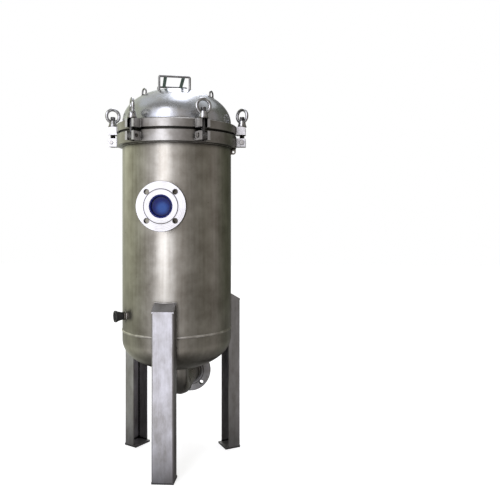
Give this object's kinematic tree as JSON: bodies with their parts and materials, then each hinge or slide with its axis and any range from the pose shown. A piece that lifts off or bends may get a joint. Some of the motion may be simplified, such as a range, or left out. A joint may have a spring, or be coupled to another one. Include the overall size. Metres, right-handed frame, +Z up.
{
  "type": "bag filter housing",
  "caption": "Upright stainless bag filter housing on three legs, with a domed lid held by swing bolts, a flanged inlet in front and a flanged outlet behind.",
  "frame": {"origin": "on the vessel's axis, at the floor under the three foot plates", "axes": "+Z up along the vessel's axis, -Y towards the inlet, +X to the right of one who faces the inlet"},
  "size_m": [0.5996, 0.594, 1.574],
  "materials": {
    "satin_shell": "satin, rolled sheet",
    "polished_dome": "fine polished",
    "machined_flange": "turned",
    "pipe_steel": "satin",
    "leg_steel": "brushed along its length",
    "lug_steel": "as machined, satin",
    "bolt_steel": "rolled thread, bright",
    "eye_nut_steel": "investment cast, tumbled",
    "handle_steel": "polished round bar",
    "rail_green": "dark green grip strip",
    "plug_blue": "moulded polyethylene",
    "plug_black": "moulded, black",
    "seal_rubber": "moulded, black",
    "inner_steel": "satin",
    "bag_felt": "needled felt",
    "collar_plastic": "moulded polypropylene"
  },
  "bodies": {
    "vessel": {"shell": "satin_shell", "lower_head": "satin_shell", "body_flange": "machined_flange", "o_ring": "seal_rubber", "inlet_pipe": "pipe_steel", "inlet_flange": "machined_flange", "outlet_elbow": "pipe_steel", "outlet_pipe": "pipe_steel", "outlet_flange": "machined_flange", "side_port_boss": "pipe_steel", "leg_front": "leg_steel", "leg_rear_right": "leg_steel", "leg_rear_left": "leg_steel", "leg_caps": "leg_steel", "foot_plates": "leg_steel", "earth_lug": "pipe_steel", "clevis_lugs": "lug_steel", "clevis_pins": "bolt_steel", "support_ring": "inner_steel", "tubesheet_gasket": "seal_rubber", "tubesheet": "inner_steel", "tubesheet_bolts": "inner_steel", "basket_1": "inner_steel", "basket_2": "inner_steel", "basket_3": "inner_steel", "filter_bag_1": "bag_felt", "filter_bag_2": "bag_felt", "filter_bag_3": "bag_felt", "bag_collars": "collar_plastic", "hold_down": "inner_steel", "hold_down_stud": "inner_steel", "hold_down_nut": "inner_steel"},
    "lid": {"lid_flange": "machined_flange", "lid_dome": "polished_dome", "lid_lugs": "lug_steel", "lid_handle": "handle_steel", "handle_rails": "rail_green", "lifting_eyes": "handle_steel"},
    "bolt_1": {"swing_bolt_1": "bolt_steel"},
    "washer_body_1": {"washer_1": "bolt_steel"},
    "nut_body_1": {"eye_nut_1": "eye_nut_steel"},
    "bolt_2": {"swing_bolt_2": "bolt_steel"},
    "washer_body_2": {"washer_2": "bolt_steel"},
    "nut_body_2": {"eye_nut_2": "eye_nut_steel"},
    "bolt_3": {"swing_bolt_3": "bolt_steel"},
    "washer_body_3": {"washer_3": "bolt_steel"},
    "nut_body_3": {"eye_nut_3": "eye_nut_steel"},
    "bolt_4": {"swing_bolt_4": "bolt_steel"},
    "washer_body_4": {"washer_4": "bolt_steel"},
    "nut_body_4": {"eye_nut_4": "eye_nut_steel"},
    "bolt_5": {"swing_bolt_5": "bolt_steel"},
    "washer_body_5": {"washer_5": "bolt_steel"},
    "nut_body_5": {"eye_nut_5": "eye_nut_steel"},
    "bolt_6": {"swing_bolt_6": "bolt_steel"},
    "washer_body_6": {"washer_6": "bolt_steel"},
    "nut_body_6": {"eye_nut_6": "eye_nut_steel"},
    "inlet_plug_body": {"inlet_plug": "plug_blue"},
    "side_plug_body": {"side_port_plug": "plug_black"}
  },
  "joints": [
    {"name": "lid_lift", "type": "slide", "parent": "vessel", "child": "lid", "axis": [0, 0, 1], "range_m": [0, 0.025]},
    {"name": "bolt_swing_1", "type": "hinge", "parent": "vessel", "child": "bolt_1", "pos_m": [-0.27163, -0.01423, 1.314], "axis": [0.0523, -0.9986, 0], "range_deg": [0, 115]},
    {"name": "nut_travel_1", "type": "slide", "parent": "bolt_1", "child": "washer_body_1", "axis": [0, 0, 1], "range_m": [0, 0.025]},
    {"name": "nut_turn_1", "type": "hinge", "parent": "washer_body_1", "child": "nut_body_1", "pos_m": [-0.27163, -0.01423, 1.3843], "axis": [0, 0, 1], "continuous": true},
    {"name": "bolt_swing_2", "type": "hinge", "parent": "vessel", "child": "bolt_2", "pos_m": [-0.12348, -0.24235, 1.314], "axis": [0.891, -0.454, 0], "range_deg": [0, 115]},
    {"name": "nut_travel_2", "type": "slide", "parent": "bolt_2", "child": "washer_body_2", "axis": [0, 0, 1], "range_m": [0, 0.025]},
    {"name": "nut_turn_2", "type": "hinge", "parent": "washer_body_2", "child": "nut_body_2", "pos_m": [-0.12348, -0.24235, 1.3843], "axis": [0, 0, 1], "continuous": true},
    {"name": "bolt_swing_3", "type": "hinge", "parent": "vessel", "child": "bolt_3", "pos_m": [0.14814, -0.22812, 1.314], "axis": [0.8387, 0.5446, 0], "range_deg": [0, 115]},
    {"name": "nut_travel_3", "type": "slide", "parent": "bolt_3", "child": "washer_body_3", "axis": [0, 0, 1], "range_m": [0, 0.025]},
    {"name": "nut_turn_3", "type": "hinge", "parent": "washer_body_3", "child": "nut_body_3", "pos_m": [0.14814, -0.22812, 1.3843], "axis": [0, 0, 1], "continuous": true},
    {"name": "bolt_swing_4", "type": "hinge", "parent": "vessel", "child": "bolt_4", "pos_m": [0.27163, 0.01423, 1.314], "axis": [-0.0523, 0.9986, 0], "range_deg": [0, 115]},
    {"name": "nut_travel_4", "type": "slide", "parent": "bolt_4", "child": "washer_body_4", "axis": [0, 0, 1], "range_m": [0, 0.025]},
    {"name": "nut_turn_4", "type": "hinge", "parent": "washer_body_4", "child": "nut_body_4", "pos_m": [0.27163, 0.01423, 1.3843], "axis": [0, 0, 1], "continuous": true},
    {"name": "bolt_swing_5", "type": "hinge", "parent": "vessel", "child": "bolt_5", "pos_m": [0.12348, 0.24235, 1.314], "axis": [-0.891, 0.454, 0], "range_deg": [0, 115]},
    {"name": "nut_travel_5", "type": "slide", "parent": "bolt_5", "child": "washer_body_5", "axis": [0, 0, 1], "range_m": [0, 0.025]},
    {"name": "nut_turn_5", "type": "hinge", "parent": "washer_body_5", "child": "nut_body_5", "pos_m": [0.12348, 0.24235, 1.3843], "axis": [0, 0, 1], "continuous": true},
    {"name": "bolt_swing_6", "type": "hinge", "parent": "vessel", "child": "bolt_6", "pos_m": [-0.14814, 0.22812, 1.314], "axis": [-0.8387, -0.5446, 0], "range_deg": [0, 115]},
    {"name": "nut_travel_6", "type": "slide", "parent": "bolt_6", "child": "washer_body_6", "axis": [0, 0, 1], "range_m": [0, 0.025]},
    {"name": "nut_turn_6", "type": "hinge", "parent": "washer_body_6", "child": "nut_body_6", "pos_m": [-0.14814, 0.22812, 1.3843], "axis": [0, 0, 1], "continuous": true},
    {"name": "inlet_plug_pull", "type": "slide", "parent": "vessel", "child": "inlet_plug_body", "axis": [0, -1, 0], "range_m": [0, 0.06]},
    {"name": "side_plug_pull", "type": "slide", "parent": "vessel", "child": "side_plug_body", "axis": [-0.8192, -0.5736, 0], "range_m": [0, 0.03]}
  ],
  "couplings": [
    {"joint": "nut_travel_1", "follows": "lid_lift", "ratio": 1},
    {"joint": "nut_travel_2", "follows": "lid_lift", "ratio": 1},
    {"joint": "nut_travel_3", "follows": "lid_lift", "ratio": 1},
    {"joint": "nut_travel_4", "follows": "lid_lift", "ratio": 1},
    {"joint": "nut_travel_5", "follows": "lid_lift", "ratio": 1},
    {"joint": "nut_travel_6", "follows": "lid_lift", "ratio": 1}
  ]
}
